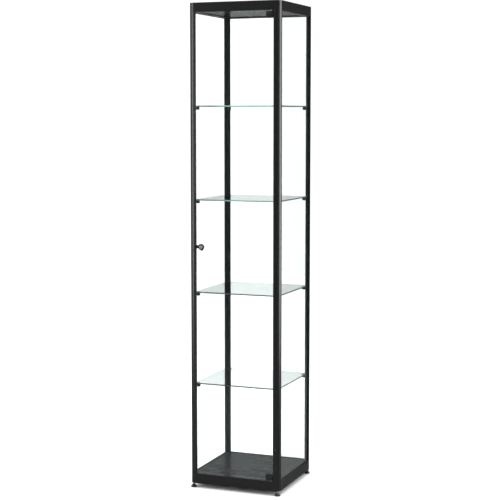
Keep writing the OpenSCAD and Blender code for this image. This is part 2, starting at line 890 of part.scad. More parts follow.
post_front_left();
post_front_right();
post_back_left();
post_back_right();
base_rail_front();
base_rail_back();
base_rail_left();
base_rail_right();
top_rail_front();
top_rail_back();
top_rail_left();
top_rail_right();
floor_panel();
top_panel();
side_glass_left();
side_glass_right();
back_glass();
glazing_seal_left();
glazing_seal_right();
glazing_seal_back();
shelf_1();
shelf_2();
shelf_3();
shelf_4();
shelf_supports();
support_screws();
corner_brackets();
corner_bolts();
bracket_screws();
door_jamb_left();
door_jamb_right();
post_plug();
lock_keeper();
keeper_screw();
hinge_bush_top();
hinge_bush_bottom();
door_glass();
hinge_clamp_top();
hinge_clamp_bottom();
hinge_liners();
hinge_grub_screws();
hinge_pin_top();
hinge_pin_bottom();
lock_body();
lock_washers();
lock_nut();
lock_plug();
lock_cam();
cam_screw();
foot_stem_front_left();
foot_stem_front_right();
foot_stem_back_left();
foot_stem_back_right();
foot_pad_front_left();
foot_pad_front_right();
foot_pad_back_left();
foot_pad_back_right();
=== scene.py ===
import math

import bmesh
import bpy
from mathutils import Matrix, Vector


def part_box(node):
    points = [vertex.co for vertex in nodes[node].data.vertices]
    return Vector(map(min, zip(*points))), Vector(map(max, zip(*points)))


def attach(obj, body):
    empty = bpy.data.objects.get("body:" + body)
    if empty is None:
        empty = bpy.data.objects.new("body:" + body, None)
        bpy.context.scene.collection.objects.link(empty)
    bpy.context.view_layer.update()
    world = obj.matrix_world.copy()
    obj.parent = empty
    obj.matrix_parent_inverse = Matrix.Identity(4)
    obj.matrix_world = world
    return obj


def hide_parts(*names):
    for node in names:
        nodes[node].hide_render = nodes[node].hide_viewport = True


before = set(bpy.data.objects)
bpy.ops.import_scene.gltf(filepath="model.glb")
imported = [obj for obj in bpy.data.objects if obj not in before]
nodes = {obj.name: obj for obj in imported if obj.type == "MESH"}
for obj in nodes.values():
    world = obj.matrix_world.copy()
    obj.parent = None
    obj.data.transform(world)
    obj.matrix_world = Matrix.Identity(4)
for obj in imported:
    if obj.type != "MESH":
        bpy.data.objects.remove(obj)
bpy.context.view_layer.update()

# ---- Corner posts ----
# Four extruded aluminium posts, each a quarter round with a groove down its outer corner.
# They are powder coated in satin black, so the skin has a fine orange peel and is a little
# rubbed along its sharp edges.

CORNERS = {
    "front_left": (-1, -1),
    "front_right": (1, -1),
    "back_left": (-1, 1),
    "back_right": (1, 1),
}


def feed(tree, socket, value):
    """Link the socket that puts out the value, or set the value itself."""
    if isinstance(value, bpy.types.NodeSocket):
        tree.links.new(value, socket)
    elif value is not None:
        socket.default_value = value


def add(tree, kind, **inputs):
    """One shader or geometry node. A name that starts with _ is a property, not an input."""
    node = tree.nodes.new(kind)
    for name, value in inputs.items():
        if name[0] == "_":
            setattr(node, name[1:], value)
        else:
            feed(tree, node.inputs[name.replace("_", " ")], value)
    return node


def maths(tree, operation, a, b=None, clamp=False):
    node = add(tree, "ShaderNodeMath", _operation=operation, _use_clamp=clamp)
    feed(tree, node.inputs[0], a)
    feed(tree, node.inputs[1], b)
    return node.outputs[0]


def dot_product(tree, a, b):
    node = add(tree, "ShaderNodeVectorMath", _operation="DOT_PRODUCT")
    feed(tree, node.inputs[0], a)
    feed(tree, node.inputs[1], b)
    return node.outputs["Value"]


def blend_colours(tree, mask, a, b):
    node = add(tree, "ShaderNodeMix", _data_type="RGBA")
    factor, colour_a, colour_b = node.inputs[0], node.inputs[6], node.inputs[7]
    feed(tree, factor, mask)
    feed(tree, colour_a, a)
    feed(tree, colour_b, b)
    return node.outputs[2]


def spread(tree, value, low, high, to_low=0.0, to_high=1.0):
    """The range from low to high, stretched over to_low to to_high and held at its ends."""
    node = add(
        tree, "ShaderNodeMapRange",
        Value=value, From_Min=low, From_Max=high, To_Min=to_low, To_Max=to_high,
    )
    return node.outputs["Result"]


def object_place(tree):
    """Where a point is on the whole case, in metres."""
    return add(tree, "ShaderNodeTexCoord").outputs["Object"]


def new_tree(name, kind, inputs, outputs):
    """A node group with (name, kind, value) inputs and (name, kind) outputs.

    Returns the tree, what its inputs put out inside it, and what its outputs take.
    """
    tree = bpy.data.node_groups.new(name, kind)
    for label, socket_kind, value in inputs:
        socket = tree.interface.new_socket(
            label, in_out="INPUT", socket_type="NodeSocket" + socket_kind
        )
        if value is not None:
            socket.default_value = value
    for label, socket_kind in outputs:
        tree.interface.new_socket(label, in_out="OUTPUT", socket_type="NodeSocket" + socket_kind)
    return tree, add(tree, "NodeGroupInput").outputs, add(tree, "NodeGroupOutput").inputs


def coating_group():
    """Orange peel, a slow drift in sheen, dust in the grain, and edges rubbed a little lighter."""
    tree, asked, made = new_tree(
        "powder_coating", "ShaderNodeTree",
        inputs=(
            ("Coat Colour", "Color", (0.02, 0.02, 0.022, 1)),
            ("Rubbed Colour", "Color", (0.1, 0.1, 0.1, 1)),
            ("Roughness", "Float", 0.4),
            ("Peel Size", "Float", 0.0008),
            ("Edge Width", "Float", 0.0005),
        ),
        outputs=(
            ("Colour", "Color"),
            ("Roughness", "Float"),
            ("Peel", "Float"),
            ("Rounded Normal", "Vector"),
        ),
    )
    place = object_place(tree)
    lumps = maths(tree, "DIVIDE", 1.0, asked["Peel Size"])
    peel = add(tree, "ShaderNodeTexNoise", Vector=place, Scale=lumps, Detail=3.0, Roughness=0.55)
    drift = add(tree, "ShaderNodeTexNoise", Vector=place, Scale=7.0, Detail=4.0, Roughness=0.6)
    dust = add(tree, "ShaderNodeTexNoise", Vector=place, Scale=900.0, Detail=2.0, Roughness=0.7)

    rounded = add(tree, "ShaderNodeBevel", _samples=4, Radius=asked["Edge Width"]).outputs[0]
    flat = add(tree, "ShaderNodeNewGeometry").outputs["Normal"]
    # The rounded normal leaves the flat one only near an edge
    edge = spread(tree, dot_product(tree, rounded, flat), 0.97, 0.75)
    wear = spread(tree, drift.outputs["Fac"], 0.45, 0.65, 0.0, 0.6)
    rubbed = maths(tree, "MULTIPLY", edge, wear)

    speck = spread(tree, dust.outputs["Fac"], 0.62, 0.8, 0.0, 0.18)
    dusted = blend_colours(tree, speck, asked["Coat Colour"], asked["Rubbed Colour"])
    sheen = spread(tree, drift.outputs["Fac"], 0.3, 0.7, -0.025, 0.025)
    feed(tree, made["Colour"], blend_colours(tree, rubbed, dusted, asked["Rubbed Colour"]))
    feed(tree, made["Roughness"], maths(tree, "ADD", asked["Roughness"], sheen))
    feed(tree, made["Peel"], peel.outputs["Fac"])
    feed(tree, made["Rounded Normal"], rounded)
    return tree


def fresh_material(name):
    """Returns a material, its tree and its own Principled node."""
    material = bpy.data.materials.new(name)
    material.use_nodes = True
    return material, material.node_tree, material.node_tree.nodes["Principled BSDF"]


def bumped(tree, shader, height, depth, strength=1.0, normal=None):
    """Raise a surface by depth in metres where height is 1."""
    bump = add(
        tree, "ShaderNodeBump",
        Height=height, Distance=depth, Strength=strength, Normal=normal,
    )
    feed(tree, shader.inputs["Normal"], bump.outputs[0])


def surfaced(name, group, relief, depth, **inputs):
    """A material that takes its colour, its roughness and its relief from a surface group."""
    material, tree, shader = fresh_material(name)
    surface = add(tree, "ShaderNodeGroup", _node_tree=group, **inputs).outputs
    feed(tree, shader.inputs["Base Color"], surface["Colour"])
    feed(tree, shader.inputs["Roughness"], surface["Roughness"])
    bumped(tree, shader, surface[relief], depth, normal=surface.get("Rounded Normal"))
    return material, shader


coating = coating_group()


def coated(name, colour, roughness, edge=0.0005):
    """Satin powder coat, rubbed over the given width along its edges."""
    material, _ = surfaced(
        name, coating, relief="Peel", depth=0.000004,
        Coat_Colour=(*colour, 1),
        Rubbed_Colour=(0.09, 0.09, 0.09, 1),
        Roughness=roughness,
        Peel_Size=0.0008,
        Edge_Width=edge,
    )
    return material


def dress(material, *names):
    for name in names:
        nodes[name].material_slots[0].material = material


post_coat = coated("post_coat", (0.008, 0.008, 0.009), roughness=0.24)
dress(post_coat, *["post_" + corner for corner in CORNERS])

# ---- Base and top rails ----
# Hollow aluminium rails in the same black coat, cut square and butted against the posts.
# The coat on them is a shade rougher, because the wide flat faces are sprayed at an angle.

rail_coat = coated("rail_coat", (0.007, 0.007, 0.0075), roughness=0.3, edge=0.0015)
for level in ("base_rail_", "top_rail_"):
    dress(rail_coat, *[level + side for side in ("front", "back", "left", "right")])

# ---- Floor and top panels ----
# Chipboard faced with black melamine, dropped on to the ledges inside the rails.
# The facing is pressed with a fine pearl texture and shows faint wiping marks.


def melamine():
    material, tree, shader = fresh_material("black_melamine")
    place = object_place(tree)
    pearl = add(
        tree, "ShaderNodeTexVoronoi",
        _feature="SMOOTH_F1", Vector=place, Scale=1100.0, Smoothness=0.6,
    )
    stroke = add(
        tree, "ShaderNodeMapping",
        Vector=place, Scale=(1.0, 3.2, 1.0), Rotation=(0, 0, math.radians(24)),
    )
    wiped = add(
        tree, "ShaderNodeTexNoise",
        Vector=stroke.outputs[0], Scale=9.0, Detail=3.0, Roughness=0.5, Distortion=0.2,
    )
    mark = spread(tree, wiped.outputs["Fac"], 0.25, 0.75)
    clean, marked = (0.013, 0.013, 0.014, 1), (0.017, 0.017, 0.018, 1)
    feed(tree, shader.inputs["Base Color"], blend_colours(tree, mark, clean, marked))
    feed(tree, shader.inputs["Roughness"], spread(tree, mark, 0.0, 1.0, 0.25, 0.285))
    shader.inputs["Specular IOR Level"].default_value = 0.1
    bumped(tree, shader, pearl.outputs["Distance"], depth=0.00002, strength=0.5)
    return material


dress(melamine(), "floor_panel", "top_panel")

# ---- Glass ----
# Clear tempered float glass with ground and polished edges: three fixed panes, four shelves
# and the door. The iron in it turns the ground edges green, and wiping leaves smears.


def glass(name, thin_axis, tint, edge_tint):
    """thin_axis points through the sheet. Lamps shine straight through it."""
    material, tree, shader = fresh_material(name)
    place = add(tree, "ShaderNodeTexCoord").outputs
    # Plus or minus 1 on the sheet's faces and 0 on its edges
    across = dot_product(tree, place["Normal"], thin_axis)
    edge = spread(tree, maths(tree, "ABSOLUTE", across), 0.7, 0.3)
    smear = add(
        tree, "ShaderNodeTexNoise",
        Vector=place["Object"], Scale=14.0, Detail=4.0, Roughness=0.6, Distortion=1.5,
    )
    wiped = spread(tree, smear.outputs["Fac"], 0.55, 0.8)
    smear_share = 0.985
    smeared = [smear_share * value for value in tint[:3]] + [1]
    cleaned = blend_colours(tree, wiped, tint, smeared)
    feed(tree, shader.inputs["Base Color"], blend_colours(tree, edge, cleaned, edge_tint))
    ground = add(tree, "ShaderNodeTexNoise", Vector=place["Object"], Scale=1500.0, Detail=2.0)
    grit = spread(tree, ground.outputs["Fac"], 0.3, 0.7, 0.22, 0.34)
    feed(tree, shader.inputs["Roughness"], maths(tree, "MULTIPLY", edge, grit))
    shader.inputs["IOR"].default_value = 1.5
    shader.inputs["Transmission Weight"].default_value = 1.0
    clear = add(tree, "ShaderNodeBsdfTransparent", Color=tint)
    choose = add(tree, "ShaderNodeMixShader")
    lamps = add(tree, "ShaderNodeLightPath").outputs["Is Shadow Ray"]
    for socket, value in zip(choose.inputs, (lamps, shader.outputs[0], clear.outputs[0])):
        feed(tree, socket, value)
    feed(tree, tree.nodes["Material Output"].inputs["Surface"], choose.outputs[0])
    return material


PANE_TINT = (0.955, 0.985, 0.98, 1)
PANE_EDGE = (0.4, 0.75, 0.66, 1)
SHELF_TINT = (0.95, 0.985, 0.978, 1)
SHELF_EDGE = (0.34, 0.7, 0.6, 1)
side_glass = glass("side_pane_glass", (1, 0, 0), PANE_TINT, PANE_EDGE)
dress(side_glass, "side_glass_left", "side_glass_right")
dress(glass("back_pane_glass", (0, 1, 0), PANE_TINT, PANE_EDGE), "back_glass")
dress(glass("door_sheet_glass", (0, 1, 0), PANE_TINT, PANE_EDGE), "door_glass")
shelf_glass = glass("shelf_glass", (0, 0, 1), SHELF_TINT, SHELF_EDGE)
SHELVES = ("shelf_1", "shelf_2", "shelf_3", "shelf_4")
dress(shelf_glass, *SHELVES)

# ---- Glazing seals ----
# Black rubber channels that grip each pane's edge inside the slots of the posts and rails.
# They are extruded, cut and pressed in by hand; only a thin lip shows beside the glass.


def plastic_group():
    """Moulded or extruded plastic: a spark-eroded grain, a slow flow mark and handled patches."""
    tree, asked, made = new_tree(
        "moulded_surface", "ShaderNodeTree",
        inputs=(
            ("Plastic Colour", "Color", (0.015, 0.015, 0.015, 1)),
            ("Handled Colour", "Color", (0.05, 0.05, 0.05, 1)),
            ("Roughness", "Float", 0.5),
            ("Grain Size", "Float", 0.0006),
        ),
        outputs=(("Colour", "Color"), ("Roughness", "Float"), ("Grain", "Float")),
    )
    place = object_place(tree)
    grain = add(
        tree, "ShaderNodeTexVoronoi",
        _feature="SMOOTH_F1", Vector=place, Smoothness=0.7,
        Scale=maths(tree, "DIVIDE", 1.0, asked["Grain Size"]),
    )
    flow = add(
        tree, "ShaderNodeTexNoise",
        Vector=place, Scale=45.0, Detail=4.0, Roughness=0.6, Distortion=1.2,
    )
    handled = spread(tree, flow.outputs["Fac"], 0.5, 0.75, 0.0, 0.5)
    colour = blend_colours(tree, handled, asked["Plastic Colour"], asked["Handled Colour"])
    sheen = spread(tree, flow.outputs["Fac"], 0.3, 0.7, 0.06, -0.08)
    feed(tree, made["Colour"], colour)
    feed(tree, made["Roughness"], maths(tree, "ADD", asked["Roughness"], sheen))
    feed(tree, made["Grain"], grain.outputs["Distance"])
    return tree


moulding = plastic_group()


def plastic(name, colour, roughness, handled=(0.04, 0.04, 0.04), grain=0.0006):
    material, _ = surfaced(
        name, moulding, relief="Grain", depth=0.00002,
        Plastic_Colour=(*colour, 1),
        Handled_Colour=(*handled, 1),
        Roughness=roughness,
        Grain_Size=grain,
    )
    return material


seal_rubber = plastic(
    "seal_rubber", (0.012, 0.012, 0.012), roughness=0.62, handled=(0.02, 0.02, 0.02)
)
dress(seal_rubber, "glazing_seal_left", "glazing_seal_right", "glazing_seal_back")

# ---- Shelf supports ----
# Sixteen small black nylon blocks that wrap the inner edge of a post under each shelf corner.
# They are moulded with softly rounded edges and a slanted front face for the screw.


def softened(node, name, width):
    """A copy of a plain piece with its triangles merged and its sharp edges rounded over."""
    shape = bmesh.new()
    shape.from_mesh(nodes[node].data)
    bmesh.ops.remove_doubles(shape, verts=shape.verts, dist=0.000002)
    bmesh.ops.dissolve_limit(
        shape, angle_limit=math.radians(1), verts=shape.verts, edges=shape.edges
    )
    mesh = bpy.data.meshes.new(name)
    shape.to_mesh(mesh)
    shape.free()
    mesh.shade_smooth()
    piece = bpy.data.objects.new(name, mesh)
    rounding = piece.modifiers.new("rounded_edges", "BEVEL")
    rounding.width = width
    rounding.segments = 2
    rounding.limit_method = "ANGLE"
    rounding.angle_limit = math.radians(40)
    rounding.harden_normals = True
    return piece


def fit(piece, body, slot, material, *replaced):
    """Put a finished piece on its body, in place of the plain pieces that it stands for."""
    bpy.context.scene.collection.objects.link(piece)
    piece.data.materials.clear()
    piece.data.materials.append(material)
    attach(piece, body)
    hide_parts(*replaced)


def fit_softened(node, name, body, slot, material, width):
    """Put a rounded copy of a plain piece in its place."""
    fit(softened(node, name, width), body, slot, material, node)


support_nylon = plastic("support_nylon", (0.013, 0.013, 0.014), roughness=0.4)
fit_softened(
    "shelf_supports", "moulded_supports", "frame", "support", support_nylon, width=0.0005
)

# ---- Screws for supports, brackets and keeper ----
# Pan-head screws with a cross recess. Those on show are blackened steel, and those inside
# the base and the top are bright zinc plate.


def metal_group():
    """Turned, drawn or plated metal: hair scratches, a dull bloom in patches and fine pits."""
    tree, asked, made = new_tree(
        "worked_metal", "ShaderNodeTree",
        inputs=(
            ("Metal Colour", "Color", (0.6, 0.6, 0.6, 1)),
            ("Bloom Colour", "Color", (0.4, 0.4, 0.4, 1)),
            ("Roughness", "Float", 0.25),
            ("Scratch Size", "Float", 0.0004),
        ),
        outputs=(("Colour", "Color"), ("Roughness", "Float"), ("Scratches", "Float")),
    )
    place = object_place(tree)
    drawn = add(
        tree, "ShaderNodeMapping",
        Vector=place, Scale=(1.0, 1.0, 0.12), Rotation=(math.radians(18), math.radians(31), 0),
    )
    hair = add(
        tree, "ShaderNodeTexNoise",
        Vector=drawn.outputs[0], Detail=3.0, Roughness=0.65,
        Scale=maths(tree, "DIVIDE", 1.0, asked["Scratch Size"]),
    )
    bloom = add(tree, "ShaderNodeTexNoise", Vector=place, Scale=130.0, Detail=4.0, Roughness=0.6)
    dull = spread(tree, bloom.outputs["Fac"], 0.45, 0.7, 0.0, 0.8)
    rougher = maths(tree, "MULTIPLY", maths(tree, "ADD", dull, hair.outputs["Fac"]), 0.12)
    colour = blend_colours(tree, dull, asked["Metal Colour"], asked["Bloom Colour"])
    feed(tree, made["Colour"], colour)
    feed(tree, made["Roughness"], maths(tree, "ADD", asked["Roughness"], rougher))
    feed(tree, made["Scratches"], hair.outputs["Fac"])
    return tree


metalwork = metal_group()


def metal(name, colour, bloom, roughness, scratch=0.0004):
    material, shader = surfaced(
        name, metalwork, relief="Scratches", depth=0.000008,
        Metal_Colour=(*colour, 1),
        Bloom_Colour=(*bloom, 1),
        Roughness=roughness,
        Scratch_Size=scratch,
    )
    shader.inputs["Metallic"].default_value = 1.0
    return material


black_steel = metal(
    "blackened_steel", (0.09, 0.09, 0.095), bloom=(0.05, 0.045, 0.04), roughness=0.3
)
zinc_plate = metal(
    "zinc_plate", (0.62, 0.64, 0.66), bloom=(0.45, 0.46, 0.46), roughness=0.26
)


def vector(tree, x=None, y=None, z=None):
    return add(tree, "ShaderNodeCombineXYZ", X=x, Y=y, Z=z).outputs[0]


def finished(tree, geometry, finish, made):
    """The end of every tree: real meshes, all in one material."""
    real = add(tree, "GeometryNodeRealizeInstances", Geometry=geometry)
    painted = add(
        tree, "GeometryNodeSetMaterial", Geometry=real.outputs[0], Material=finish
    )
    feed(tree, made[0], painted.outputs[0])


def pan_head(tree, asked):
    """A disc drawn in towards its top, with a slightly domed top and its seat at Z 0."""
    round_from, round_rate = 0.35, 1.54  # the side starts to round in at this share of the height
    drawn_in, sunk = 0.4, 0.16  # how far the rim of the top has come in and down
    disc = add(
        tree, "GeometryNodeMeshCylinder", Vertices=32, Side_Segments=6, Fill_Segments=4,
        Radius=asked["Head Radius"], Depth=asked["Head Height"],
    )
    where = add(tree, "GeometryNodeInputPosition").outputs[0]
    x, y, z = add(tree, "ShaderNodeSeparateXYZ", Vector=where).outputs
    rise = maths(tree, "ADD", maths(tree, "DIVIDE", z, asked["Head Height"]), 0.5)
    above = maths(tree, "SUBTRACT", rise, round_from, clamp=True)
    shoulder = maths(tree, "MULTIPLY", above, round_rate)
    squares = maths(tree, "ADD", maths(tree, "MULTIPLY", x, x), maths(tree, "MULTIPLY", y, y))
    outwards = maths(tree, "DIVIDE", maths(tree, "SQRT", squares), asked["Head Radius"])
    lost = maths(tree, "MULTIPLY", maths(tree, "POWER", shoulder, 2.0), drawn_in)
    narrow = maths(tree, "SQRT", maths(tree, "SUBTRACT", 1.0, lost))
    dome = maths(tree, "MULTIPLY", maths(tree, "POWER", outwards, 2.0), shoulder)
    sag = maths(tree, "MULTIPLY", dome, sunk)
    height = maths(tree, "MULTIPLY", maths(tree, "SUBTRACT", rise, sag), asked["Head Height"])
    domed = vector(
        tree, maths(tree, "MULTIPLY", x, narrow), maths(tree, "MULTIPLY", y, narrow), height
    )
    return add(
        tree, "GeometryNodeSetPosition", Geometry=disc.outputs["Mesh"], Position=domed
    ).outputs[0]


def screw_drive(tree, asked):
    """What is cut from the top of a head: a cross, or a hexagon where that is asked for."""
    cross_share, hexagon_share, depth_share = 1.1, 0.58, 1.3
    reach = maths(tree, "MULTIPLY", asked["Head Radius"], cross_share)
    deep = maths(tree, "MULTIPLY", asked["Head Height"], depth_share)
    cross = add(tree, "GeometryNodeMeshBoolean", _operation="UNION", _solver="EXACT")
    for size_x, size_y in ((reach, asked["Drive Width"]), (asked["Drive Width"], reach)):
        arm = add(tree, "GeometryNodeMeshCube", Size=vector(tree, size_x, size_y, deep))
        feed(tree, cross.inputs["Mesh 2"], arm.outputs["Mesh"])
    hexagon = add(
        tree, "GeometryNodeMeshCylinder", Vertices=6, Depth=deep,
        Radius=maths(tree, "MULTIPLY", asked["Head Radius"], hexagon_share),
    )
    drive = add(
        tree, "GeometryNodeSwitch", _input_type="GEOMETRY", Switch=asked["Hexagon Socket"]
    )
    feed(tree, drive.inputs["False"], cross.outputs["Mesh"])
    feed(tree, drive.inputs["True"], hexagon.outputs["Mesh"])
    return add(
        tree, "GeometryNodeTransform",
        Geometry=drive.outputs[0], Translation=vector(tree, z=asked["Head Height"]),
    ).outputs[0]


def screw_tree():
    """A screw on every point, its head along the point's "aim"."""
    tree, asked, made = new_tree(
        "screws", "GeometryNodeTree",
        inputs=(
            ("Places", "Geometry", None),
            ("Shank Radius", "Float", 0.0017),
            ("Shank Length", "Float", 0.02),
            ("Head Radius", "Float", 0.003),
            ("Head Height", "Float", 0.0017),
            ("Drive Width", "Float", 0.0006),
            ("Hexagon Socket", "Bool", False),
            ("Finish", "Material", None),
        ),
        outputs=(("Screws", "Geometry"),),
    )
    head = add(tree, "GeometryNodeMeshBoolean", _operation="DIFFERENCE", _solver="EXACT")
    feed(tree, head.inputs["Mesh 1"], pan_head(tree, asked))
    feed(tree, head.inputs["Mesh 2"], screw_drive(tree, asked))
    rod = add(
        tree, "GeometryNodeMeshCylinder",
        Vertices=20, Radius=asked["Shank Radius"], Depth=asked["Shank Length"],
    )
    drop = vector(tree, z=maths(tree, "MULTIPLY", asked["Shank Length"], -0.5))
    shank = add(
        tree, "GeometryNodeTransform", Geometry=rod.outputs["Mesh"], Translation=drop
    )
    screw = add(tree, "GeometryNodeJoinGeometry")
    feed(tree, screw.inputs[0], head.outputs["Mesh"])
    feed(tree, screw.inputs[0], shank.outputs[0])

    aimed = add(tree, "GeometryNodeInputNamedAttribute", _data_type="FLOAT_VECTOR", Name="aim")
    turned = add(
        tree, "FunctionNodeAlignRotationToVector", _axis="Z", Vector=aimed.outputs["Attribute"]
    )
    placed = add(
        tree, "GeometryNodeInstanceOnPoints",
        Points=asked["Places"], Instance=screw.outputs[0], Rotation=turned.outputs[0],
    )
    finished(tree, placed.outputs[0], asked["Finish"], made)
    return tree


CREASE = math.radians(35)  # a sharper edge than this isn't shaded smooth


def grown(name, tree, start, **inputs):
    """Run a tree on a starting mesh and keep the result as a plain mesh."""
    grower = bpy.data.objects.new(name + "_start", start)
    bpy.context.scene.collection.objects.link(grower)
    modifier = grower.modifiers.new("grow", "NODES")
    modifier.node_group = tree
    sockets = {
        item.name.replace(" ", "_"): item.identifier
        for item in tree.interface.items_tree
        if item.in_out == "INPUT"
    }
    for key, value in inputs.items():
        modifier[sockets[key]] = value
    grower.update_tag()
    evaluated = grower.evaluated_get(bpy.context.evaluated_depsgraph_get())
    mesh = bpy.data.meshes.new_from_object(evaluated)
    grower.modifiers.clear()
    bpy.data.objects.remove(grower)
    mesh.name = name
    mesh.shade_smooth()
    mesh.set_sharp_from_angle(angle=CREASE)
    return bpy.data.objects.new(name, mesh)


screws = screw_tree()


def screw_set(name, places, finish, hexagon=False, **sizes):
    """places holds (point under the head, direction of the head). All sizes are millimetres."""
    start = bpy.data.meshes.new(name + "_places")
    start.from_pydata([[value / 1000 for value in point] for point, _ in places], [], [])
    aims = start.attributes.new("aim", "FLOAT_VECTOR", "POINT")
    for index, (_, direction) in enumerate(places):
        aims.data[index].vector = direction
    metres = {key: value / 1000 for key, value in sizes.items()}
    return grown(name, screws, start, Hexagon_Socket=hexagon, Finish=finish, **metres)


X, Y, Z = range(3)


def ends(node, axis):
    """Where a plain piece begins and ends along an axis, in millimetres."""
    return [round(corner[axis] * 1000, 3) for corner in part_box(node)]


def halfway(node, axis):
    return sum(ends(node, axis)) / 2


# Millimetres
POST_FACE = ends("post_front_right", X)[0]  # from the middle of the case to a post's inner face
SUPPORT_SLANT = 9.5  # from that face in to the slanted front of a support
SUPPORT_SCREW_DROP = 6  # from a shelf down to the screws below it
slant = POST_FACE - SUPPORT_SLANT
support_screw_places = [
    ((slant * cx, slant * cy, ends(shelf, Z)[0] - SUPPORT_SCREW_DROP), (-cx, -cy, 0))
    for cx, cy in CORNERS.values()
    for shelf in SHELVES
]
support_screw_set = screw_set(
    "support_screw_set", support_screw_places, black_steel,
    Shank_Radius=1.7, Shank_Length=19.9, Head_Radius=2.89, Head_Height=1.7, Drive_Width=0.8,
)
fit(support_screw_set, "frame", "dark_screw", black_steel, "support_screws")

BRACKET_HEIGHT = 18
BRACKET_THICKNESS = 2.5
BRACKET_SCREW_IN = 28  # from a post's inner face along the rail
bracket_face = POST_FACE - BRACKET_THICKNESS
bracket_hole = POST_FACE - BRACKET_SCREW_IN
lowest, highest = ends("corner_brackets", Z)
bracket_levels = (lowest + BRACKET_HEIGHT / 2, highest - BRACKET_HEIGHT / 2)
bracket_screw_places = [
    place
    for cx, cy in CORNERS.values()
    for level in bracket_levels
    for place in (
        ((bracket_hole * cx, bracket_face * cy, level), (0, -cy, 0)),
        ((bracket_face * cx, bracket_hole * cy, level), (-cx, 0, 0)),
    )
]
bracket_screw_set = screw_set(
    "bracket_screw_set", bracket_screw_places, zinc_plate,
    Shank_Radius=2.0, Shank_Length=7.0, Head_Radius=3.4, Head_Height=2.0, Drive_Width=0.9,
)
fit(bracket_screw_set, "frame", "zinc_fixing", zinc_plate, "bracket_screws")

LOCK_HEIGHT = halfway("lock_plug", Z)
KEEPER_THICKNESS = 2.5
keeper_screw_place = (KEEPER_THICKNESS - POST_FACE, halfway("keeper_screw", Y), LOCK_HEIGHT)
keeper_screw = screw_set(
    "keeper_screw_cross", [(keeper_screw_place, (1, 0, 0))], black_steel,
    Shank_Radius=1.5, Shank_Length=8.4, Head_Radius=2.55, Head_Height=1.5, Drive_Width=0.7,
)
fit(keeper_screw, "frame", "dark_screw", black_steel, "keeper_screw")

# ---- Corner brackets and bolts ----
# Pressed zinc-plated steel brackets across the corners, under the floor panel and over the top
# panel. One hexagon-socket bolt pulls each bracket, and the ends of two rails, to its post.

BOLT_SEAT_IN = 8.768  # millimetres from a post's inner face in to the face of a bracket's web
bolt_seat = POST_FACE - BOLT_SEAT_IN
bracket_zinc = metal(
    "bracket_zinc", (0.5, 0.52, 0.54), bloom=(0.62, 0.6, 0.5), roughness=0.34, scratch=0.0007
)
fit_softened(
    "corner_brackets", "pressed_brackets", "frame", "bracket", bracket_zinc, width=0.0003
)
corner_bolt_places = [
    ((bolt_seat * cx, bolt_seat * cy, level), (-cx, -cy, 0))
    for cx, cy in CORNERS.values()
    for level in bracket_levels
]
corner_bolt_set = screw_set(
    "corner_bolt_set", corner_bolt_places, zinc_plate, hexagon=True,
    Shank_Radius=2.4, Shank_Length=18.9, Head_Radius=4.08, Head_Height=2.4,
)
fit(corner_bolt_set, "frame", "zinc_fixing", zinc_plate, "corner_bolts")

# ---- Door jambs ----
# Two solid black profiles that fill the gap between the front posts and the door's edges.
# Each has a tongue that slides into the post's front slot, and a rounded outer edge.

jamb_coat = coated("jamb_coat", (0.009, 0.009, 0.01), roughness=0.34)
for side in ("left", "right"):
    fit_softened(
        "door_jamb_" + side, "jamb_profile_" + side, "frame", "jamb", jamb_coat, width=0.0004
    )

# ---- Post plug ----
# A black nylon plug pressed into the drilled hole low on the front right post.
# Its flat face sits just below the round of the post.

dress(plastic("plug_nylon", (0.02, 0.02, 0.021), roughness=0.32), "post_plug")

# ---- Lock keeper ----
# A bent black steel angle, screwed to the flat of the left post. The cam turns in behind its
# free leg and holds the door shut.

keeper_coat = coated("keeper_coat", (0.012, 0.012, 0.013), roughness=0.36, edge=0.0006)
fit_softened("lock_keeper", "bent_keeper", "frame", "keeper", keeper_coat, width=0.0004)

# ---- Hinge clamps and liners ----
# Black cast zinc channels that grip the door's top and bottom edges near the right-hand side.
# A soft black liner keeps the metal off the glass, and two grub screws close each one.

clamp_coat = coated("clamp_coat", (0.01, 0.01, 0.011), roughness=0.3, edge=0.0006)
for end in ("top", "bottom"):
    fit_softened(
        "hinge_clamp_" + end, "cast_clamp_" + end, "door", "clamp", clamp_coat, width=0.0005
    )
liner_rubber = plastic(
    "liner_rubber", (0.018, 0.018, 0.019), roughness=0.5, handled=(0.03, 0.03, 0.03)
)
dress(liner_rubber, "hinge_liners")
grub_steel = metal(
    "grub_steel", (0.1, 0.1, 0.105), bloom=(0.06, 0.055, 0.05), roughness=0.28, scratch=0.0003
)
dress(grub_steel, "hinge_grub_screws")

# ---- Hinge pins and bushes ----
# Ground steel pins pressed into the clamps, and flanged bushes let into the front rails.
# They are turned bright, with fine marks from the tool.

pin_steel = metal(
    "pin_steel", (0.72, 0.72, 0.73), bloom=(0.6, 0.6, 0.6), roughness=0.12, scratch=0.0002
)
dress(pin_steel, "hinge_pin_top", "hinge_pin_bottom")
bush_steel = metal(
    "bush_steel", (0.6, 0.58, 0.54), bloom=(0.42, 0.4, 0.36), roughness=0.3, scratch=0.0003
)
dress(bush_steel, "hinge_bush_top", "hinge_bush_bottom")

# ---- Cam lock ----
# A round lock through the door's glass: a black collar and barrel, soft washers either side,
# a zinc nut behind, and a nickel plug that turns the steel cam.


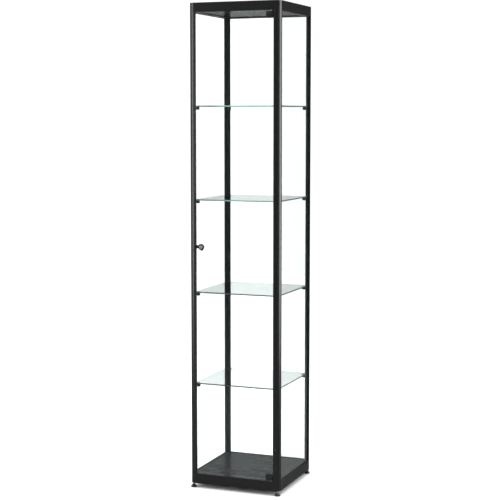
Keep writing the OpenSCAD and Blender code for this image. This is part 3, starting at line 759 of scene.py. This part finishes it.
def filleted(corners, steps=4):
    """An outline of (radius, height, fillet) corners, with an arc where a fillet isn't 0."""
    outline = []
    for index, (radius, height, fillet) in enumerate(corners):
        here = Vector((radius, height))
        if not fillet:
            outline.append(here)
            continue
        before = (Vector(corners[index - 1][:2]) - here).normalized()
        after = (Vector(corners[(index + 1) % len(corners)][:2]) - here).normalized()
        half = before.angle(after) / 2
        setback = fillet / math.tan(half)
        middle = here + (before + after).normalized() * (fillet / math.sin(half))
        first, last = here + before * setback - middle, here + after * setback - middle
        arc = [first.slerp(last, step / steps) * fillet for step in range(steps + 1)]
        outline += [middle + point for point in arc]
    return outline


def lathe(name, outline, centre, axis=(0, 0, 1), sides=64):
    """A closed turned piece, in millimetres. The outline is a loop, or ends on the axis."""
    shape = bmesh.new()
    rings = []
    angles = [math.tau * side / sides for side in range(sides)]
    for radius, height in outline:
        points = [(radius * math.cos(turn), radius * math.sin(turn), height) for turn in angles]
        rings.append([shape.verts.new(point) for point in (points if radius else points[:1])])
    on_axis = len(rings[0]) == 1
    for first, second in zip(rings, rings[1:] if on_axis else rings[1:] + rings[:1]):
        for side in range(sides):
            after = (side + 1) % sides
            quad = ((first, side), (first, after), (second, after), (second, side))
            corners = [ring[at] for ring, at in quad if len(ring) > 1]
            corners += [ring[0] for ring in (first, second) if len(ring) == 1]
            shape.faces.new(corners)
    bmesh.ops.recalc_face_normals(shape, faces=shape.faces)
    tilt = Vector((0, 0, 1)).rotation_difference(Vector(axis)).to_matrix().to_4x4()
    place = Matrix.Translation(Vector(centre) / 1000) @ tilt @ Matrix.Scale(0.001, 4)
    bmesh.ops.transform(shape, matrix=place, verts=shape.verts)
    mesh = bpy.data.meshes.new(name)
    shape.to_mesh(mesh)
    shape.free()
    mesh.shade_smooth()
    mesh.set_sharp_from_angle(angle=CREASE)
    return bpy.data.objects.new(name, mesh)


# Millimetres: the lock's place, its radii, and its faces along Y, from the front to the back
LOCK_X = halfway("lock_cam", X)
PLUG_BORE, PLUG_RECESS, COLLAR, BARREL = 5.55, 7.55, 13, 9
COLLAR_FRONT, BARREL_BACK = ends("lock_body", Y)
RECESS_FLOOR = COLLAR_FRONT + 1.5
COLLAR_BACK = ends("lock_washers", Y)[0]
CAM_BACK = ends("lock_cam", Y)[1]
TO_THE_BACK = (0, 1, 0)
collar_outline = filleted([
    (PLUG_BORE, RECESS_FLOOR, 0),
    (PLUG_RECESS, RECESS_FLOOR, 0),
    (PLUG_RECESS, COLLAR_FRONT, 0.3),
    (COLLAR, COLLAR_FRONT, 1.4),
    (COLLAR, COLLAR_BACK, 0.2),
    (BARREL, COLLAR_BACK, 0.3),
    (BARREL, BARREL_BACK, 0.4),
    (PLUG_BORE, BARREL_BACK, 0.2),
])
collar = lathe("lock_collar", collar_outline, (LOCK_X, 0, LOCK_HEIGHT), TO_THE_BACK)
collar_coat = coated("collar_coat", (0.012, 0.012, 0.013), roughness=0.2, edge=0.0003)
fit(collar, "door", "lock_housing", collar_coat, "lock_body")
washer_rubber = plastic(
    "washer_rubber", (0.014, 0.014, 0.014), roughness=0.6, handled=(0.02, 0.02, 0.02)
)
dress(washer_rubber, "lock_washers")
fit_softened("lock_nut", "thin_nut", "door", "lock_metal", zinc_plate, width=0.0004)
nickel = metal(
    "nickel_plate", (0.86, 0.85, 0.83), bloom=(0.7, 0.69, 0.67), roughness=0.3, scratch=0.0002
)
dress(nickel, "lock_plug")
fit_softened("lock_cam", "pressed_cam", "lock_core", "lock_metal", zinc_plate, width=0.0002)
cam_screw_place = (LOCK_X, CAM_BACK, LOCK_HEIGHT)
cam_screw = screw_set(
    "cam_screw_cross", [(cam_screw_place, TO_THE_BACK)], zinc_plate,
    Shank_Radius=1.5, Shank_Length=6.0, Head_Radius=4.5, Head_Height=1.5, Drive_Width=0.8,
)
fit(cam_screw, "lock_core", "lock_metal", zinc_plate, "cam_screw")

# ---- Levelling feet ----
# A threaded steel stem under each post, riveted into a black moulded pad so that it turns in
# it. A hexagon above the pad takes a spanner, and the rolled thread runs up inside the post.


def thread_tree():
    """Winds a rolled thread on to the blank that comes in."""
    tree, asked, made = new_tree(
        "rolled_thread", "GeometryNodeTree",
        inputs=(
            ("Blank", "Geometry", None),
            ("Root Radius", "Float", 0.0026),
            ("Crest Radius", "Float", 0.003),
            ("Pitch", "Float", 0.001),
            ("Thread Length", "Float", 0.02),
            ("Centre", "Vector", None),
            ("Finish", "Material", None),
        ),
        outputs=(("Stem", "Geometry"),),
    )
    both = maths(tree, "ADD", asked["Root Radius"], asked["Crest Radius"])
    middle = maths(tree, "DIVIDE", both, 2.0)
    depth = maths(tree, "SUBTRACT", asked["Crest Radius"], asked["Root Radius"])
    coil = add(
        tree, "GeometryNodeCurveSpiral",
        Resolution=20, Start_Radius=middle, End_Radius=middle, Height=asked["Thread Length"],
        Rotations=maths(tree, "DIVIDE", asked["Thread Length"], asked["Pitch"]),
    )
    upright = add(tree, "GeometryNodeSetCurveNormal", _mode="Z_UP", Curve=coil.outputs[0])
    ridge = add(
        tree, "GeometryNodeCurvePrimitiveCircle",
        Resolution=4, Radius=maths(tree, "MULTIPLY", depth, 0.5),
    )
    wound = add(
        tree, "GeometryNodeCurveToMesh",
        Curve=upright.outputs[0], Profile_Curve=ridge.outputs[0], Fill_Caps=True,
    )
    thread = add(
        tree, "GeometryNodeTransform", Geometry=wound.outputs[0], Translation=asked["Centre"]
    )
    whole_stem = add(tree, "GeometryNodeJoinGeometry")
    feed(tree, whole_stem.inputs[0], thread.outputs[0])
    feed(tree, whole_stem.inputs[0], asked["Blank"])
    finished(tree, whole_stem.outputs[0], asked["Finish"], made)
    return tree


rolled_thread = thread_tree()
stem_steel = metal(
    "stem_steel", (0.64, 0.65, 0.67), bloom=(0.5, 0.51, 0.52), roughness=0.2, scratch=0.0003
)
pad_nylon = plastic("pad_nylon", (0.012, 0.012, 0.013), roughness=0.46, grain=0.0008)

# Millimetres: radii, then levels above the floor, then the gaps that let a stem turn in its pad
STEM, STEM_ROOT, STEM_TIP, RIVET = 3, 2.6, 1.8, 4.5
SOLE, RIM, NECK = 10, 12, 7
RIVET_LOW, STEM_TOP = ends("foot_stem_front_right", Z)
RIVET_HIGH, CHAMFER_LOW = 8, STEM_TOP - 0.8
PAD_TOP = ends("foot_pad_front_right", Z)[1]
RIM_LOW, RIM_HIGH, NECK_LOW = 0.5, 4, 10
SEAT_GAP, TURNING_GAP = 0.03, 0.05
FOOT = halfway("post_front_right", X)  # a foot's axis is under the middle of its post
stem_outline = filleted([
    (0, RIVET_LOW + SEAT_GAP, 0),
    (RIVET, RIVET_LOW + SEAT_GAP, 0.3),
    (RIVET, RIVET_HIGH, 0.8),
    (STEM_ROOT, RIVET_HIGH, 0),
    (STEM_ROOT, CHAMFER_LOW, 0),
    (STEM_TIP, STEM_TOP, 0),
    (0, STEM_TOP, 0),
])
pad_outline = filleted([
    (0, 0, 0),
    (SOLE, 0, 0.4),
    (RIM, RIM_LOW, 0.5),
    (RIM, RIM_HIGH, 1.2),
    (NECK, NECK_LOW, 1.5),
    (NECK, PAD_TOP, 0.5),
    (STEM + TURNING_GAP, PAD_TOP, 0.2),
    (STEM + TURNING_GAP, RIVET_HIGH + TURNING_GAP, 0),
    (RIVET + TURNING_GAP, RIVET_HIGH + TURNING_GAP, 0),
    (RIVET + TURNING_GAP, RIVET_LOW, 0),
    (0, RIVET_LOW, 0),
])

# Metres: the hexagon between a pad and its post, and the thread, which starts just above it
HEXAGON_FLATS = 0.01
HEXAGON_HEIGHT = 0.0035
HEXAGON_MIDDLE = 0.01415
THREAD_START = 0.0165
THREAD_LENGTH = 0.0265
THREAD_CREST = 0.00298


def add_hexagon(blank, x, y):
    """Flats for a spanner, with softened edges, added to a stem's turned blank."""
    shape = bmesh.new()
    shape.from_mesh(blank.data)
    across_corners = 2 * HEXAGON_FLATS / math.sqrt(3)
    turned = Matrix.Rotation(math.radians(30), 4, "Z")
    made = bmesh.ops.create_cone(
        shape, cap_ends=True, segments=6, depth=HEXAGON_HEIGHT,
        radius1=across_corners / 2, radius2=across_corners / 2,
        matrix=Matrix.Translation((x, y, HEXAGON_MIDDLE)) @ turned,
    )
    corners = set(made["verts"])
    edges = [edge for edge in shape.edges if corners.issuperset(edge.verts)]
    bmesh.ops.bevel(
        shape, geom=edges, offset=0.0003, segments=2, profile=0.5, affect="EDGES"
    )
    shape.to_mesh(blank.data)
    shape.free()


for corner, (cx, cy) in CORNERS.items():
    foot = (FOOT * cx, FOOT * cy, 0)
    foot_x, foot_y = foot[0] / 1000, foot[1] / 1000
    blank = lathe("stem_blank_" + corner, stem_outline, foot, sides=32)
    add_hexagon(blank, foot_x, foot_y)
    stem = grown(
        "threaded_stem_" + corner, rolled_thread, blank.data,
        Root_Radius=STEM_ROOT / 1000, Crest_Radius=THREAD_CREST, Pitch=0.001,
        Thread_Length=THREAD_LENGTH,
        Centre=(foot_x, foot_y, THREAD_START), Finish=stem_steel,
    )
    fit(stem, "stem_" + corner, "stem", stem_steel, "foot_stem_" + corner)
    pad = lathe("moulded_pad_" + corner, pad_outline, foot)
    fit(pad, "pad_" + corner, "pad", pad_nylon, "foot_pad_" + corner)
    bpy.data.objects.remove(blank)

# ---- Studio ----
# A pale floor under a white surround. Gloss reflects a darker room than the eye sees, as black
# cloths keep the white out of it, with one bright upright screen at each side.

azimuth = math.radians(21.451)
elevation = math.radians(5.806)
distance = 5.604
aim = Vector((-0.00728, 0.0, 0.99574))
back = Vector((
    math.sin(azimuth) * math.cos(elevation),
    -math.cos(azimuth) * math.cos(elevation),
    math.sin(elevation),
))

camera_data = bpy.data.cameras.new("camera")
camera_data.lens = 95.19
camera_data.sensor_width = 36.0
camera = bpy.data.objects.new("camera", camera_data)
camera.location = aim + back * distance
camera.rotation_mode = "QUATERNION"
camera.rotation_quaternion = (-back).to_track_quat("-Z", "Y")
bpy.context.scene.collection.objects.link(camera)
bpy.context.scene.camera = camera
bpy.context.scene.view_settings.view_transform = "Standard"


def pale_paper():
    """White paper, painted a darker grey where gloss reflects it, with a painted glow where it is
    seen straight through the glass.
    """
    paper, tree, shader = fresh_material("pale_paper")
    grain = add(tree, "ShaderNodeTexNoise", Scale=60.0, Detail=4.0)
    white = blend_colours(
        tree, grain.outputs["Fac"], (0.9, 0.9, 0.9, 1), (0.92, 0.92, 0.92, 1)
    )
    rays = add(tree, "ShaderNodeLightPath").outputs
    in_gloss = maths(tree, "GREATER_THAN", rays["Glossy Depth"], 0.5)
    # Painted shade: where gloss reflects the paper, its colour is a darker grey, 0.45 in place of
    # 0.9
    paper_painted_grey_in_gloss = blend_colours(tree, in_gloss, white, (0.45, 0.45, 0.45, 1))
    # Painted glow: the paper glows where it is seen straight through the glass, though it is no
    # lamp
    behind_glass = maths(tree, "GREATER_THAN", rays["Transmission Depth"], 0.5)
    straight = maths(tree, "MULTIPLY", behind_glass, maths(tree, "SUBTRACT", 1.0, in_gloss))
    feed(tree, shader.inputs["Base Color"], paper_painted_grey_in_gloss)
    feed(tree, shader.inputs["Emission Strength"], maths(tree, "MULTIPLY", straight, 0.45))
    shader.inputs["Emission Color"].default_value = (1, 1, 1, 1)
    shader.inputs["Roughness"].default_value = 1.0
    shader.inputs["Specular IOR Level"].default_value = 0.0
    return paper


FLOOR_SIZE = 14.0
floor_mesh = bpy.data.meshes.new("studio_floor")
floor_shape = bmesh.new()
bmesh.ops.create_grid(floor_shape, x_segments=1, y_segments=1, size=FLOOR_SIZE / 2)
floor_shape.to_mesh(floor_mesh)
floor_shape.free()
floor = bpy.data.objects.new("studio_floor", floor_mesh)
bpy.context.scene.collection.objects.link(floor)
floor_mesh.materials.append(pale_paper())


def lamp(name, bearing, height, reach, size, watts, gloss_only=False):
    """An area lamp, reach metres out from the case, bearing degrees round from its front."""
    data = bpy.data.lights.new(name, "AREA")
    data.shape = "RECTANGLE"
    data.size, data.size_y = size
    data.energy = watts
    holder = bpy.data.objects.new(name, data)
    turn = math.radians(bearing)
    holder.location = (math.sin(turn) * reach, -math.cos(turn) * reach, height)
    holder.rotation_mode = "QUATERNION"
    lamp_aim = Vector((0, 0, height if gloss_only else 1))
    holder.rotation_quaternion = (lamp_aim - holder.location).to_track_quat("-Z", "Y")
    holder.visible_camera = holder.visible_transmission = False
    holder.visible_diffuse = not gloss_only
    bpy.context.scene.collection.objects.link(holder)


lamp("soft_lamp_left", bearing=-50, height=1.6, reach=3.2, size=(0.5, 2.4), watts=24)
lamp("soft_lamp_right", bearing=112, height=1.6, reach=3.2, size=(0.5, 2.4), watts=26)
lamp("soft_lamp_above", bearing=20, height=4.2, reach=0.6, size=(1.6, 1.6), watts=60)
lamp(
    "bright_screen_left", bearing=-60, height=1.4, reach=3.0, size=(2.2, 2.7), watts=24,
    gloss_only=True,
)
lamp(
    "bright_screen_right", bearing=98, height=1.4, reach=3.0, size=(2.4, 2.7), watts=88,
    gloss_only=True,
)


def light_the_surround(world):
    """A dim room for gloss, an even white fill for soft light, and pure white to the eye."""
    world.use_nodes = True
    tree = world.node_tree
    gloss_room, white = tree.nodes["Background"], (1, 1, 1, 1)
    look = add(tree, "ShaderNodeTexCoord").outputs["Generated"]
    up = add(tree, "ShaderNodeSeparateXYZ", Vector=look).outputs[2]
    towards = dot_product(tree, look, (math.sin(azimuth), -math.cos(azimuth), 0.0))
    # Gloss sees light only straight behind the case, and most of it just above the horizon
    below = spread(tree, up, -0.03, 0.03, 0.7, 1.0)
    above = spread(tree, up, 0.22, 0.27, 1.0, 0.12)
    room = maths(tree, "MINIMUM", below, above)
    cloths = spread(tree, towards, -0.86, -0.97, 0.05, 1.0)
    rays = add(tree, "ShaderNodeLightPath").outputs
    through_glass = maths(tree, "GREATER_THAN", rays["Transmission Depth"], 0.5)
    eye_strength = spread(tree, through_glass, 0.0, 1.0, 1.12, 1.7)
    feed(tree, gloss_room.inputs["Color"], white)
    feed(tree, gloss_room.inputs["Strength"], maths(tree, "MULTIPLY", room, cloths))
    fill = add(tree, "ShaderNodeBackground", Color=white, Strength=1.45)
    to_eye = add(tree, "ShaderNodeBackground", Color=white, Strength=eye_strength)

    # Each Mix Shader takes a factor, what it shows at 0 and what it shows at 1
    bounced = maths(tree, "ADD", rays["Glossy Depth"], rays["Diffuse Depth"])
    mirrored = maths(tree, "GREATER_THAN", rays["Glossy Depth"], 0.5)
    straight = maths(tree, "LESS_THAN", bounced, 0.5)
    reflected, whole = add(tree, "ShaderNodeMixShader"), add(tree, "ShaderNodeMixShader")
    for mix, values in (
        (reflected, (mirrored, fill.outputs[0], gloss_room.outputs[0])),
        (whole, (straight, reflected.outputs[0], to_eye.outputs[0])),
    ):
        for socket, value in zip(mix.inputs, values):
            feed(tree, socket, value)
    feed(tree, tree.nodes["World Output"].inputs["Surface"], whole.outputs[0])


bpy.context.scene.world = bpy.data.worlds.new("white_surround")
light_the_surround(bpy.context.scene.world)
